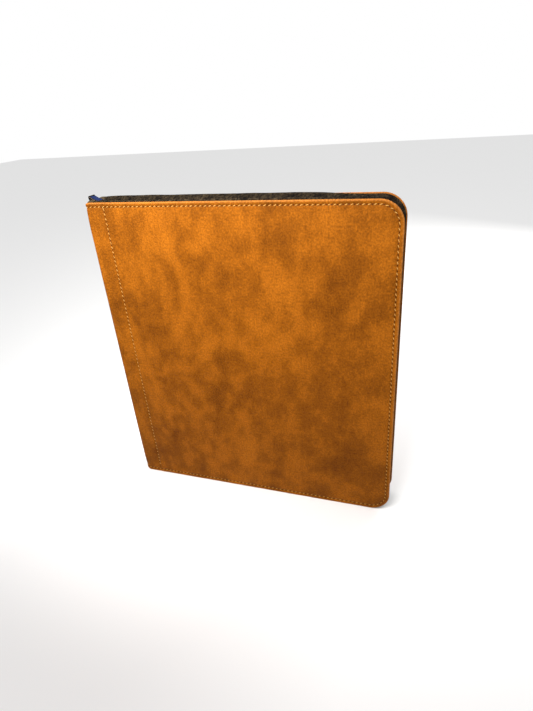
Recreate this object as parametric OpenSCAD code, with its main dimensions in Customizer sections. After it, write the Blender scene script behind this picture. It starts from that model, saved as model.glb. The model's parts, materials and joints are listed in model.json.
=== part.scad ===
// Zip-around trading card binder: two leather-covered boards, a spine, a coil zip on three
// sides and side-loading pages with 3 x 3 card pockets on each face.
// X runs from the spine to the fore-edge, Y from the front cover to the back cover, Z up.
// The binder stands closed on its bottom edges; the origin is under the middle of its box.

/* [Covers] */
// Width of the closed binder, from the spine to the fore-edge
cover_w = 291; // [280:1:320]
// Height of the covers
cover_h = 320; // [316:1:350]
// Thickness of the closed binder, outside to outside
cover_t = 30; // [30:0.5:36]
// Radius of the two fore-edge corners
corner_r = 20; // [14:1:26]
// Distance of the stitched hinge line from the outside of the spine
hinge_line = 20.5; // [16:0.5:28]
// Distance of the edge stitching from the cover's edge
stitch_inset = 4; // [3.5:0.1:4.5]

/* [Layers] */
// Thickness of the leather
leather_t = 1; // [0.8:0.1:1.2]
// Thickness of the stiffening board
board_t = 1.4; // [1:0.1:1.6]
// Thickness of the lining cloth
lining_t = 0.6; // [0.4:0.1:0.8]
// Width of the leather turned in around the board
hem_w = 5.6; // [5.4:0.1:6.5]

/* [Zip] */
// How far the zip tape stands above the covers' top edge and fore-edge
tape_lift = 0.6; // [0.2:0.1:1]
// How far the zip tape stays inside the bottom edge, so that the covers carry the weight
tape_foot = 0.5; // [0.3:0.1:1]
// How far the tape's web and the coil lie under the tape's lip
zip_drop = 5.6; // [3:0.2:5.6]
// Thickness of the zip tape
tape_t = 0.6; // [0.4:0.1:0.8]
// Width of each half of the coil
coil_w = 2.9; // [2.4:0.1:3.4]
// Height of the coil under its tape
coil_h = 2.2; // [1.8:0.1:2.6]
// Length of the slider
slider_l = 12; // [9:0.5:13]
// Width of the slider
slider_w = 8.8; // [7:0.2:9.4]
// Length of the pull from its hinge to its tip
pull_l = 15; // [11:0.5:18]
// Rise of the pull's ring above level at rest
pull_rise = 10; // [6:1:20]
// Further rise of the ribbon, above the ring
ribbon_rise = 20; // [14:1:30]

/* [Pages] */
// Number of pages
page_count = 20; // [10:2:20]
// Width of a page
page_w = 246; // [238:1:246]
// Height of a page
page_h = 296; // [290:1:296]
// Thickness of a page's backing sheet
sheet_t = 0.2; // [0.1:0.05:0.25]
// Thickness of each pocket film
film_t = 0.15; // [0.1:0.05:0.15]

/* [Hidden] */
$fn = 64;
cut = 1; // overshoot of cutting solids
fit = 0.2; // clearance between pieces laid into each other
left = -cover_w / 2;
right = cover_w / 2;
half_t = cover_t / 2;

panel_t = leather_t + board_t + lining_t;
lining_d = leather_t + board_t; // depth of the lining under the outer face
skin_gap = 1.5; // where a leather panel ends, from the corner where it folds
hem_gap = 4; // where the turned-in leather of a cover starts, from the spine's outside
spine_gap = 2; // where the turned-in leather of the spine starts, from the cover's outside
board_start = hinge_line + 2.5;
lining_start = 5;
lining_inset = 8.6;
thread_w = 0.8;
thread_t = 0.3;
groove_w = 1.1;
groove_t = 0.4;
spine_lining_w = cover_t - 8;

tape_start = 6; // distance of the tape's ends from the spine's outside
flange_w = 8; // width of tape sewn inside the cover's edge
slit = 0.8; // half the gap between the coil's halves
coil_d = half_t - slit - coil_w; // depth of the coil under the cover's outer face
tape_end_d = coil_d + 1.2; // the tape covers this much of the coil
tab_l = 2.5;
tab_w = 8;
tab_h = 4;

wing_t = 1.2;
wing_r = 2.2;
wing_lift = 0.3; // clearance between the slider and the tape
post_w = 1;
post_l = 5;
slider_x = left + tape_start + 0.5 + slider_l / 2;
tape_top = cover_h + tape_lift - zip_drop; // top of the web
coil_low = tape_top - tape_t - coil_h;
wing_top = tape_top + wing_lift + wing_t;
bridge_l = 5.6;
bridge_w = 2.4;
bridge_h = 3.2;
bridge_t = 0.9;
pull_z = wing_top + 1.5; // height of the pull's hinge pin
wire_d = 1.3;
wire_y = 4.85; // where the ring's side wires run
ring_l = 5.4;
wire_bend_r = 1.2; // bend of the ring's corners, at the wire's middle
ribbon_w = 8;
ribbon_t = 1.8;
ribbon_eye = 1.5; // radius of the ribbon around the ring's end wire
ribbon_neck = 1; // where the flat ribbon starts inside its eye, from the wire's middle

binding_w = cover_t - 8;
binding_t = 3;
binding_x = left + panel_t;
fin_l = 3;
fin_t = 0.4;
page_pitch = (binding_w - 1.1) / (page_count - 1);
page_hinge_x = binding_x + binding_t + fin_l + 0.5;
page_start_x = page_hinge_x + 5;
page_low = (cover_h - page_h) / 2;
film_edge = 4; // margin of a page that its pocket films leave free
film_start = 26; // width of a page's gutter

LEATHER = [0.72, 0.41, 0.12];
THREAD = [0.86, 0.56, 0.24];
BOARD = [0.62, 0.58, 0.52];
CLOTH = [0.09, 0.09, 0.11];
TAPE = [0.33, 0.27, 0.21];
COIL = [0.07, 0.06, 0.06];
METAL = [0.16, 0.15, 0.14];
RIBBON = [0.17, 0.26, 0.56];
SHEET = [0.1, 0.1, 0.11];
FILM = [0.82, 0.86, 0.9];

function page_name(k) = str("page_", k < 10 ? "0" : "", k);
function page_y(k) = (k - (page_count + 1) / 2) * page_pitch;

// Outline in X and Z with square corners at the spine and rounded ones at the fore-edge
module outline(x0, x1, z0, z1, r) {
    translate([x0, z0])
        square([x1 - x0 - r, z1 - z0]);
    translate([x0, z0 + r])
        square([x1 - x0, z1 - z0 - 2 * r]);
    for (z = [z0 + r, z1 - r])
        translate([x1 - r, z])
            circle(r);
}

// Extrudes an outline from depth d0 to depth d1 under the front cover's outer face
module at_depth(d0, d1) {
    translate([0, d1 - half_t, 0])
        rotate([90, 0, 0])
            linear_extrude(d1 - d0)
                children();
}

// A layer of the front cover: the cover's outline moved in by inset, from start on
module layer(inset, d0, d1, start) {
    at_depth(d0, d1)
        outline(left + start, right - inset, inset, cover_h - inset, corner_r - inset);
}

// The zip tape's outline, moved in by inset from its outer face
module tape_outline(inset, start) {
    outline(left + start, right + tape_lift - inset, tape_foot + inset,
            cover_h + tape_lift - inset, corner_r + tape_lift - inset);
}

// A band along the top, the fore-edge and the bottom, between two insets of the tape
module tape_band(inset0, inset1, d0, d1) {
    at_depth(d0, d1)
        difference() {
            tape_outline(inset0, tape_start);
            tape_outline(inset1, tape_start - cut);
        }
}

// The seam along the cover's edge, and the straight seam along the hinge line
module seams(w, d0, d1) {
    at_depth(d0, d1) {
        intersection() {
            difference() {
                seam_outline(stitch_inset - w / 2, 0);
                seam_outline(stitch_inset + w / 2, -cut);
            }
            translate([left + skin_gap, 0])
                square([cover_w, cover_h]);
        }
        translate([left + hinge_line - w / 2, stitch_inset])
            square([w, cover_h - 2 * stitch_inset]);
    }
}

module seam_outline(inset, start)
    outline(left + start, right - inset, inset, cover_h - inset, corner_r - inset);

// Leather of the front cover: a sheet with its edges turned in around the board's recess
module cover_skin() {
    difference() {
        union() {
            layer(0, 0, leather_t, skin_gap);
            layer(0, leather_t, lining_d, hem_gap);
        }
        layer(hem_w, leather_t, lining_d + cut, board_start);
        seams(groove_w, -cut, groove_t);
    }
}

module cover_board()
    layer(hem_w + fit, leather_t, lining_d, board_start + fit);

module cover_lining()
    layer(lining_inset, lining_d, panel_t, lining_start);

module cover_stitching()
    seams(thread_w, groove_t - thread_t, groove_t);

// Half of the zip tape: a flange sewn inside the cover's edge, whose lip stands above the
// edge, and a web from the flange to the coil
module cover_tape() {
    tape_band(0, flange_w, lining_d, panel_t);
    tape_band(zip_drop, zip_drop + tape_t, lining_d, tape_end_d);
}

module cover_coil()
    tape_band(zip_drop + tape_t, zip_drop + tape_t + coil_h, coil_d, half_t - slit);

module back()
    mirror([0, 1, 0])
        children();

module back_skin() color(LEATHER) back() cover_skin();
module back_board() color(BOARD) back() cover_board();
module back_lining() color(CLOTH) back() cover_lining();
module back_stitching() color(THREAD) back() cover_stitching();
module back_zip_tape() color(TAPE) back() cover_tape();
module back_zip_coil() color(COIL) back() cover_coil();

module front_skin() color(LEATHER) cover_skin();
module front_board() color(BOARD) cover_board();
module front_lining() color(CLOTH) cover_lining();
module front_stitching() color(THREAD) cover_stitching();
module front_zip_tape() color(TAPE) cover_tape();
module front_zip_coil() color(COIL) cover_coil();

// A slab of the spine: depth d0 to d1 from the spine's outside, y_gap from both covers
module spine_slab(d0, d1, y_gap, z0, z1) {
    translate([left + d0, y_gap - half_t, z0])
        cube([d1 - d0, cover_t - 2 * y_gap, z1 - z0]);
}

module spine_skin() {
    color(LEATHER) {
        spine_slab(0, leather_t, skin_gap, 0, cover_h);
        spine_slab(leather_t, lining_d, spine_gap, 0, hem_w);
        spine_slab(leather_t, lining_d, spine_gap, cover_h - hem_w, cover_h);
    }
}

module spine_board()
    color(BOARD)
        spine_slab(leather_t, lining_d, spine_gap, hem_w + fit, cover_h - hem_w - fit);

module spine_lining()
    color(CLOTH)
        spine_slab(lining_d, panel_t, (cover_t - spine_lining_w) / 2, 1, cover_h - 1);

// The strip sewn to the spine, with one short fin where each page's gutter starts
module page_binding() {
    color(CLOTH) {
        translate([binding_x, -binding_w / 2, page_low])
            cube([binding_t, binding_w, page_h]);
        for (k = [1:page_count])
            translate([binding_x + binding_t - fit, page_y(k) - fin_t / 2, page_low])
                cube([fin_l + fit, fin_t, page_h]);
    }
}

// The backing sheet of page k
module page_sheet(k) {
    color(SHEET)
        translate([page_start_x, page_y(k) - sheet_t / 2, page_low])
            cube([page_w, sheet_t, page_h]);
}

// The clear pocket films on both faces of page k
module page_pockets(k) {
    color(FILM)
        for (side = [-1, 1])
            translate([
                page_start_x + film_start,
                page_y(k) + side * (sheet_t + film_t) / 2 - film_t / 2,
                page_low + film_edge
            ])
                cube([page_w - film_start - film_edge, film_t, page_h - 2 * film_edge]);
}

// A flat plate of the slider with rounded corners, from z0 to z1
module wing(z0, z1) {
    l = slider_l - 2 * wing_r;
    w = slider_w - 2 * wing_r;
    translate([slider_x, 0, z0])
        linear_extrude(z1 - z0) {
            square([slider_l, w], center = true);
            square([l, slider_w], center = true);
            for (x = [-l / 2, l / 2], y = [-w / 2, w / 2])
                translate([x, y])
                    circle(wing_r);
        }
}

// The arch on the slider that holds the pull's hinge pin
module bridge() {
    translate([slider_x, bridge_w / 2, wing_top])
        rotate([90, 0, 0])
            linear_extrude(bridge_w)
                difference() {
                    translate([-bridge_l / 2, -fit])
                        square([bridge_l, bridge_h + fit]);
                    translate([-bridge_l / 2 + bridge_t, 0])
                        square([bridge_l - 2 * bridge_t, bridge_h - bridge_t]);
                }
}

module zip_slider() {
    low = coil_low - wing_lift - wing_t;
    color(METAL) {
        wing(wing_top - wing_t, wing_top);
        wing(low, low + wing_t);
        translate([slider_x - post_l / 2, -post_w / 2, low + wing_t - fit])
            cube([post_l, post_w, wing_top - low - 2 * wing_t + 2 * fit]);
        bridge();
    }
}

// Places the pull's parts: drawn along -X from the hinge pin, then lifted to the rest pose
module pull_pose() {
    translate([slider_x, 0, pull_z])
        rotate([0, pull_rise, 0])
            children();
}

// A round wire along Y at distance x from the hinge pin
module cross_wire(x, d, w) {
    translate([x, w / 2, 0])
        rotate([90, 0, 0])
            cylinder(h = w, d = d);
}

// A quarter bend of the ring's wire, from X towards Y
module wire_bend() {
    rotate_extrude(angle = 90)
        translate([wire_bend_r, 0])
            circle(d = wire_d);
}

// A closed loop of wire: two cross wires, two side wires and four bends
module pull_ring() {
    side_l = ring_l - 2 * wire_bend_r;
    cross_l = 2 * (wire_y - wire_bend_r);
    color(METAL)
        pull_pose() {
            for (x = [-ring_l, 0])
                cross_wire(x, wire_d, cross_l);
            for (y = [-wire_y, wire_y])
                translate([-wire_bend_r, y, 0])
                    rotate([0, -90, 0])
                        cylinder(h = side_l, d = wire_d);
            for (corner = [0:3])
                translate([
                    -ring_l / 2 + side_l / 2 * (corner == 0 || corner == 3 ? 1 : -1),
                    cross_l / 2 * (corner < 2 ? 1 : -1),
                    0
                ])
                    rotate(90 * corner)
                        wire_bend();
        }
}

// The folded ribbon, with an eye around the ring's end wire
module pull_tab() {
    color(RIBBON)
        pull_pose()
            translate([-ring_l, ribbon_w / 2, 0])
                rotate([90, 0, 0])
                    linear_extrude(ribbon_w)
                        difference() {
                            union() {
                                circle(ribbon_eye);
                                rotate(180 - ribbon_rise)
                                    translate([ribbon_neck, -ribbon_t / 2])
                                        square([pull_l - ring_l - ribbon_neck, ribbon_t]);
                            }
                            circle(d = wire_d + fit);
                        }
}

// The sewn-over ends of the zip at the top and the bottom of the spine
module zip_end_tabs() {
    color(CLOTH)
        for (z = [tape_foot + zip_drop, tape_top - tab_h])
            translate([left + tape_start - tab_l, slit, z])
                cube([tab_l, tab_w, tab_h]);
}

back_skin();
back_board();
back_lining();
back_stitching();
back_zip_tape();
back_zip_coil();
front_skin();
front_board();
front_lining();
front_stitching();
front_zip_tape();
front_zip_coil();
spine_skin();
spine_board();
spine_lining();
page_binding();
zip_slider();
pull_ring();
pull_tab();
zip_end_tabs();
for (k = [1:page_count]) {
    page_sheet(k);
    page_pockets(k);
}
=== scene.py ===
"""Looks of a zip-around trading card binder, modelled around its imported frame.

The leather jacket is shaped flat, edged and creased, and then folded round the spine.
Everything else is laid along the covers' edge, the zip's run or the pages.
"""

import functools
import json
import math

import bmesh
import bpy
from bpy.props import FloatProperty, FloatVectorProperty, PointerProperty
from mathutils import Euler, Matrix, Vector, noise

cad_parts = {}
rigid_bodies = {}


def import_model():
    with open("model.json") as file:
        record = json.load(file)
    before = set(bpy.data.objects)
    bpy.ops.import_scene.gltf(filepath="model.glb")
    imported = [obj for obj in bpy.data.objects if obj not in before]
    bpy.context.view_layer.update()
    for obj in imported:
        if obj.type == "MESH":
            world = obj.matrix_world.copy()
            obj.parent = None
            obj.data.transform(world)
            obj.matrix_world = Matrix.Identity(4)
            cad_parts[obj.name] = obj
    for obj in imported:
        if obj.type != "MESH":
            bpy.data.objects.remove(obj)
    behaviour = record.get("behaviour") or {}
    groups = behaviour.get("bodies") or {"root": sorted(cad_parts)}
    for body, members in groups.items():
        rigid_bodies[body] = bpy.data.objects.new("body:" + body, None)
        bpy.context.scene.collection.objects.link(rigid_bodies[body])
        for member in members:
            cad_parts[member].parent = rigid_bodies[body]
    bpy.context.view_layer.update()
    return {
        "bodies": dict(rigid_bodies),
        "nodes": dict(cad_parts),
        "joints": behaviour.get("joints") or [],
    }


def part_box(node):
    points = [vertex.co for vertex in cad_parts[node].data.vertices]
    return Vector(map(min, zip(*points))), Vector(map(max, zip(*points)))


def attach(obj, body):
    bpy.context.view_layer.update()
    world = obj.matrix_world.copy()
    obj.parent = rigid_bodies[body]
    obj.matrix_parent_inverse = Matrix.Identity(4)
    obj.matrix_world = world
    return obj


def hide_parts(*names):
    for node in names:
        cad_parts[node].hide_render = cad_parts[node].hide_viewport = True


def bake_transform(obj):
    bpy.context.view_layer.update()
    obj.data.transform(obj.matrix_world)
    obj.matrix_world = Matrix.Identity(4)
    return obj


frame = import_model()

bl_info = {
    "name": "Card binder",
    "version": (1, 0, 0),
    "blender": (4, 5, 0),
    "location": "View3D > Sidebar > Card binder",
    "description": "Models the looks of a zip-around trading card binder",
    "category": "Object",
}

MM = 0.001
QUARTER = math.pi / 2
FRONT, BACK = -1, 1

SKIN_LOW, SKIN_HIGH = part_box("front_skin")
SPINE_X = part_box("spine_skin")[0].x
FORE_X = SKIN_HIGH.x
HEIGHT = SKIN_HIGH.z
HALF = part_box("back_skin")[1].y
SKIN_DEPTH = SKIN_HIGH.y - SKIN_LOW.y
LINING_LOW, LINING_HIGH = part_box("front_lining")
LINING_DEPTH = LINING_HIGH.y - LINING_LOW.y
TAPE_START = SPINE_X + 2.7 * MM
PAGE_BODIES = sorted(body for body in frame["bodies"] if body.startswith("page_"))
JOINTS = {joint["name"]: joint for joint in frame["joints"]}


# ---------------------------------------------------------------- sizes and colours


def length(name, description, default, low=0.0, high=1.0):
    return FloatProperty(
        name=name, description=description, default=default, min=low, max=high,
        precision=5, subtype="DISTANCE", unit="LENGTH",
    )


def colour(name, description, default):
    return FloatVectorProperty(
        name=name, description=description, default=default, size=3,
        min=0.0, max=1.0, subtype="COLOR",
    )


class BinderSizes(bpy.types.PropertyGroup):
    """Sizes of the binder's soft and sewn pieces"""

    corner_radius: length("Corner radius", "Radius of the covers' fore-edge corners", 20 * MM)
    fold_radius: length("Fold radius", "Outside radius of the leather at the spine", 4 * MM)
    spine_corner: length("Spine corner", "Radius of the leather's ends at the spine", 10 * MM)
    fold_reach: length("Fold reach", "How far a fold's bend reaches along each panel", 7 * MM)
    hinge_line: length("Hinge line", "From the spine's outside to the sewn hinge line", 20.5 * MM)
    seam_inset: length("Seam inset", "From a cover's edge to its stitching", 4 * MM)
    stitch_pitch: length("Stitch pitch", "From one stitch to the next", 4.5 * MM)
    stitch_length: length("Stitch length", "Length of one stitch", 2.5 * MM)
    stitch_width: length("Stitch width", "Width of one stitch", 0.75 * MM)
    skin_grid: length("Leather grid", "Spacing of the leather's cuts", 6 * MM)
    padding: length("Padding", "How far the leather swells between its seams", 0.5 * MM)
    lip: length("Tape lip", "Height of the zip tape's lips over the covers' edge", 1.4 * MM)
    tape_floor: length("Tape floor", "Height of the tape's lower run", 1.7 * MM)
    tape_thickness: length("Tape thickness", "Thickness of the zip tape", 0.45 * MM)
    tooth_pitch: length("Coil pitch", "From one turn of the coil to the next", 1.5 * MM)
    page_corner: length("Page corner", "Radius of a page's corners", 4 * MM)
    weld: length("Weld", "Width of the welds between two pockets", 3 * MM)


class BinderColours(bpy.types.PropertyGroup):
    """Colours of the binder's finishes"""

    # leather_dark also paints the shade in the seams' grooves and in the hinge crease
    leather_dark: colour("Leather, dark", "Cloudy dark patches", (0.132, 0.0370, 0.0016))
    leather: colour("Leather", "The leather between its patches", (0.215, 0.0620, 0.0026))
    leather_light: colour("Leather, light", "Rubbed light patches", (0.300, 0.0890, 0.0045))
    # The rim colour is a painted highlight along the leather's turned edge; the thread's lighter
    # fibres use it too
    rim: colour("Rim", "Burnished turned edge", (0.390, 0.145, 0.0280))
    thread: colour("Thread", "Sewing thread", (0.600, 0.330, 0.0850))
    needle_hole: colour("Needle hole", "Shaded needle holes", (0.045, 0.012, 0.0025))
    tape: colour("Zip tape", "Woven zip tape", (0.120, 0.085, 0.0450))
    tape_dark: colour("Zip tape, dark", "Shaded yarns of the tape", (0.004, 0.003, 0.0025))
    coil: colour("Coil", "Nylon coil", (0.006, 0.005, 0.0045))
    metal: colour("Slider", "Dark painted metal", (0.030, 0.027, 0.0240))
    ribbon: colour("Ribbon", "Blue pull ribbon", (0.013, 0.030, 0.1300))
    ribbon_core: colour("Ribbon core", "Undyed middle of the pull", (0.230, 0.160, 0.0900))
    cloth: colour("Lining", "Lining cloth", (0.014, 0.014, 0.0180))
    sheet: colour("Page sheet", "Backing sheet of a page", (0.012, 0.012, 0.0140))
    film: colour("Pocket film", "Clear pocket film", (0.300, 0.315, 0.3400))
    weld: colour("Weld", "Dull welded film", (0.007, 0.007, 0.0080))
    board: colour("Board", "Grey fibreboard", (0.350, 0.310, 0.2500))


# ---------------------------------------------------------------- finishes


class Value:
    """A number that varies over a surface; arithmetic on it adds Math nodes."""

    def __init__(self, look, socket):
        self.look = look
        self.socket = socket

    def _math(self, operation, first, second=0.0, clamp=False):
        settings = {"operation": operation, "use_clamp": clamp}
        return self.look.add("ShaderNodeMath", settings, {0: first, 1: second})

    def __add__(self, other):
        return self._math("ADD", self, other)

    def __sub__(self, other):
        return self._math("SUBTRACT", self, other)

    def __rsub__(self, other):
        return self._math("SUBTRACT", other, self)

    def __mul__(self, other):
        return self._math("MULTIPLY", self, other)

    def __truediv__(self, other):
        return self._math("DIVIDE", self, other)

    __radd__ = __add__
    __rmul__ = __mul__

    def clamped(self):
        return self._math("ADD", self, 0.0, clamp=True)

    def sine(self):
        return self._math("SINE", self)

    def between(self, low, high):
        """0 below low, 1 above high"""
        return self._math("MULTIPLY", self - low, 1.0 / (high - low), clamp=True)


class Look:
    """A material in the making: a Principled shader and the nodes that feed it."""

    on_node = False  # True while the finish of a CAD node is made

    def __init__(self, name, **constants):
        self.material = bpy.data.materials.new(name)
        self.material.use_nodes = True
        self.tree = self.material.node_tree
        self.shader = self.tree.nodes["Principled BSDF"]
        for socket, value in constants.items():
            self.feed(socket.replace("_", " ").title().replace("Ior", "IOR"), value)

    def feed(self, socket, value):
        """Sets or links one of the shader's sockets"""
        self.connect(self.shader.inputs[socket], value)

    def connect(self, socket, value):
        if isinstance(value, Value):
            self.tree.links.new(value.socket, socket)
        elif hasattr(value, "__len__") and socket.type == "RGBA" and len(value) == 3:
            socket.default_value = (*value, 1.0)
        else:
            socket.default_value = value

    def add(self, kind, settings=None, inputs=None, output=0):
        """Adds a node: its settings first, then its sockets' values or links"""
        node = self.tree.nodes.new(kind)
        for key, value in (settings or {}).items():
            setattr(node, key, value)
        for key, value in (inputs or {}).items():
            self.connect(node.inputs[key], value)
        return Value(self, node.outputs[output])

    def place(self):
        """Where a point lies on the closed binder, in metres"""
        if self.on_node:
            return self.add("ShaderNodeTexCoord", output="Object")
        return self.attribute("rest_place")

    def attribute(self, name, output="Vector"):
        settings = {"attribute_type": "GEOMETRY", "attribute_name": name}
        return self.add("ShaderNodeAttribute", settings, output=output)

    def stretched(self, where, scale):
        settings = {"operation": "MULTIPLY"}
        return self.add("ShaderNodeVectorMath", settings, {0: where, 1: scale})

    def part(self, where, axis):
        return self.add("ShaderNodeSeparateXYZ", {}, {0: where}, output=axis)

    def noise(self, where, scale, detail=2.0, roughness=0.5, distortion=0.0):
        inputs = {"Vector": where, "Scale": scale, "Detail": detail,
                  "Roughness": roughness, "Distortion": distortion}
        return self.add("ShaderNodeTexNoise", {}, inputs)

    def cells(self, where, scale):
        return self.add("ShaderNodeTexVoronoi", {}, {"Vector": where, "Scale": scale})

    def mixed(self, factor, first, second, mode="MIX"):
        settings = {"data_type": "RGBA", "blend_type": mode}
        return self.add("ShaderNodeMix", settings, {0: factor, 6: first, 7: second}, output=2)

    def bump(self, height, distance, strength=1.0):
        """Raises the surface by height times distance, in metres"""
        inputs = {"Height": height, "Distance": distance, "Strength": strength}
        self.feed("Normal", self.add("ShaderNodeBump", {}, inputs))


def leather_look(tints):
    """Mottled imitation leather: clouds, worn light patches and a fine grain, with a painted
    highlight along the rim and painted shade in the seams' grooves and the hinge crease
    """
    look = Look("tan_leather", specular_ior_level=0.04)
    place = look.attribute("leather_place")
    painted_light = look.attribute("leather_painted_light", "Fac")
    upright = look.stretched(place, (1.0, 1.0, 0.72))
    clouds = look.noise(upright, 18.0, 3.0, 0.6, 0.1)
    patches = look.noise(upright, 70.0, 4.0, 0.7, 0.15)
    specks = look.noise(place, 420.0, 3.0, 0.7)
    tone = clouds * 0.46 + patches * 0.36 + specks * 0.18
    darkened = look.mixed(tone.between(0.39, 0.51), tints.leather_dark, tints.leather)
    skin = look.mixed(tone.between(0.49, 0.60), darkened, tints.leather_light)
    # Painted highlight: the rim colour along the leather's edge. Painted shade: leather_dark in
    # the seams' grooves and the hinge crease
    rim_highlighted = look.mixed((painted_light * 0.75).clamped(), skin, tints.rim)
    groove_shade = (painted_light * -0.62).clamped()
    shaded = look.mixed(groove_shade, rim_highlighted, tints.leather_dark)
    # Grain tone on the bumped pores: partly the grain's own colour, partly painted highlight and
    # shade on the pores
    pores = look.noise(look.stretched(place, (1.0, 1.0, 0.8)), 680.0, 2.0, 0.6)
    grain_tone_and_light = 0.80 + pores.between(0.38, 0.62) * 0.40
    look.feed("Base Color", look.mixed(1.0, shaded, grain_tone_and_light, mode="MULTIPLY"))
    grain = look.cells(place, 1150.0)
    creases = look.noise(look.stretched(place, (1.0, 1.0, 0.55)), 420.0, 3.0, 0.6, 1.5)
    look.feed("Roughness", 0.43 + specks * 0.16 + (1 - tone) * 0.08)
    look.bump(grain * 0.4 + pores * 1.4 + creases * 0.9, 0.5 * MM)
    return look.material


def thread_look(tints):
    """Twisted sewing thread with light ply and darker gaps"""
    look = Look("tan_thread", roughness=0.62, specular_ior_level=0.1)
    place = look.place()
    ply = (look.part(place, "X") * 5200.0 + look.part(place, "Z") * 5200.0).sine()
    fibre = look.noise(place, 1500.0, 2.0)
    shade = look.mixed((ply * 0.25 + 0.3).clamped(), tints.thread, tints.leather)
    look.feed("Base Color", look.mixed(fibre.between(0.55, 0.8), shade, tints.rim))
    look.bump(ply * 0.5 + fibre, 0.08 * MM)
    return look.material


def woven_look(name, dark, light, pitch, flat="Y"):
    """Cloth with crossing yarns; flat is the axis that the cloth faces"""
    look = Look(name, roughness=0.85, specular_ior_level=0.1)
    place = look.place()
    across, along = [axis for axis in "XYZ" if axis != flat]
    warp = (look.part(place, across) * (math.tau / pitch)).sine()
    weft = (look.part(place, along) * (math.tau / pitch)).sine()
    weave = warp * weft * 0.5 + 0.5
    slub = look.noise(place, 0.35 / pitch, 3.0, 0.6)
    mask = (weave * 0.4 + slub * 0.7 - 0.1).clamped()
    look.feed("Base Color", look.mixed(mask, dark, light))
    look.bump(weave * 0.7 + slub * 0.6, 0.12 * MM)
    return look.material


TAPE_RIB = 1.3 * MM  # from one diagonal rib of the tape to the next
TAPE_CHEVRON = 2.2 * MM  # width over which the ribs turn and turn back


def tape_look(tints):
    """Herringbone zip tape: diagonal ribs that turn at every rib's width, and loose fuzz"""
    look = Look("zip_tape", roughness=0.9, specular_ior_level=0.06)
    run = look.attribute("tape_place")
    along = look.part(run, "X")
    across = look.part(run, "Y")
    zigzag = (across * (math.tau / TAPE_CHEVRON)).sine()
    ribs = ((along + zigzag * (0.5 * MM)) * (math.tau / TAPE_RIB)).sine() * 0.5 + 0.5
    fuzz = look.noise(run, 700.0, 3.0, 0.65)
    worn = look.noise(run, 95.0, 3.0, 0.6)
    # Painted shade: the tape is darkened towards the coil, where the groove between the tapes
    # lies in shade
    lip = (across * across).between((6 * MM) ** 2, (11 * MM) ** 2)
    mask = (ribs * 0.3 + fuzz * 1.9 + worn * 0.9 - 1.42).clamped() * (lip * 0.9 + 0.1)
    look.feed("Base Color", look.mixed(mask, tints.tape_dark, tints.tape))
    look.bump(ribs * 0.8 + fuzz * 0.6, 0.18 * MM)
    return look.material


def moulded_look(name, tint, roughness, scale=900.0, **constants):
    """Moulded plastic or painted metal: a fine uneven texture and a few lighter rubs"""
    look = Look(name, **constants)
    place = look.place()
    fine = look.noise(place, scale, 3.0, 0.6)
    rubs = look.noise(place, scale * 0.12, 3.0, 0.6)
    lighter = tuple(min(1.0, channel * 1.9 + 0.012) for channel in tint)
    look.feed("Base Color", look.mixed(rubs.between(0.48, 0.75), tint, lighter))
    look.feed("Roughness", roughness + fine * 0.1)
    look.bump(fine, 0.05 * MM)
    return look.material


def film_look(tints):
    """Clear pocket film with a soft ripple, dull where it is welded"""
    look = Look("pocket_film", specular_ior_level=0.5)
    place = look.place()
    weld = look.attribute("weld", "Fac")
    ripple = look.noise(look.stretched(place, (1.0, 1.0, 0.4)), 60.0, 2.0, 0.5, 0.4)
    dust = look.noise(place, 800.0, 2.0)
    look.feed("Base Color", look.mixed(weld, tints.film, tints.weld))
    look.feed("Roughness", 0.12 + dust * 0.14 + weld * 0.4)
    look.feed("Alpha", 0.11 + ripple.between(0.4, 0.8) * 0.07 + weld * 0.6)
    look.bump(ripple, 0.12 * MM)
    return look.material


def ribbon_look(name, tint, edge):
    """Ribbed ribbon with a darker selvedge on both sides"""
    look = Look(name, roughness=0.6, specular_ior_level=0.12)
    place = look.place()
    across = look.part(place, "Y")
    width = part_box("pull_tab")[1].y
    selvedge = (across * across / (width * width)).between(0.72, 0.84)
    ribs = (look.part(place, "X") * (math.tau / (0.55 * MM))).sine() * 0.5 + 0.5
    fuzz = look.noise(place, 1400.0, 2.0)
    body = look.mixed((ribs * 0.35 + fuzz * 0.35).clamped(), tint, edge)
    look.feed("Base Color", look.mixed(selvedge * 0.8, body, edge))
    look.bump(ribs * 0.8 + fuzz * 0.4, 0.1 * MM)
    return look.material


LOOKS = {
    "tan_leather": leather_look,
    "tan_thread": thread_look,
    "needle_hole": lambda t: moulded_look(
        "needle_hole", t.needle_hole, 0.8, specular_ior_level=0.03),
    "zip_tape": tape_look,
    "tape_end": lambda t: woven_look("tape_end", t.tape_dark, t.tape, TAPE_RIB),
    "zip_coil": lambda t: moulded_look(
        "zip_coil", t.coil, 0.38, scale=1500.0, specular_ior_level=0.2),
    "slider_metal": lambda t: moulded_look("slider_metal", t.metal, 0.28, metallic=0.6),
    "blue_ribbon": lambda t: ribbon_look("blue_ribbon", t.ribbon, t.coil),
    "ribbon_core": lambda t: woven_look("ribbon_core", t.tape, t.ribbon_core, 0.5 * MM, flat="Z"),
    "lining_cloth": lambda t: woven_look(
        "lining_cloth", t.coil, tuple(2.2 * channel for channel in t.cloth), 0.7 * MM),
    "page_sheet": lambda t: moulded_look("page_sheet", t.sheet, 0.45, scale=2200.0),
    "pocket_film": film_look,
    "grey_board": lambda t: moulded_look("grey_board", t.board, 0.85, scale=500.0),
}


@functools.cache
def look_of(name, on_node=False):
    """A finish's material, made when it is first used.

    A new piece stores its points' rest_place, so that its pattern bends with it. A CAD node
    has no such attribute, and its pattern is laid on Object coordinates.
    """
    Look.on_node = on_node
    return LOOKS[name](bpy.context.scene.binder_colours)


# ---------------------------------------------------------------- shaping helpers


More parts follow.
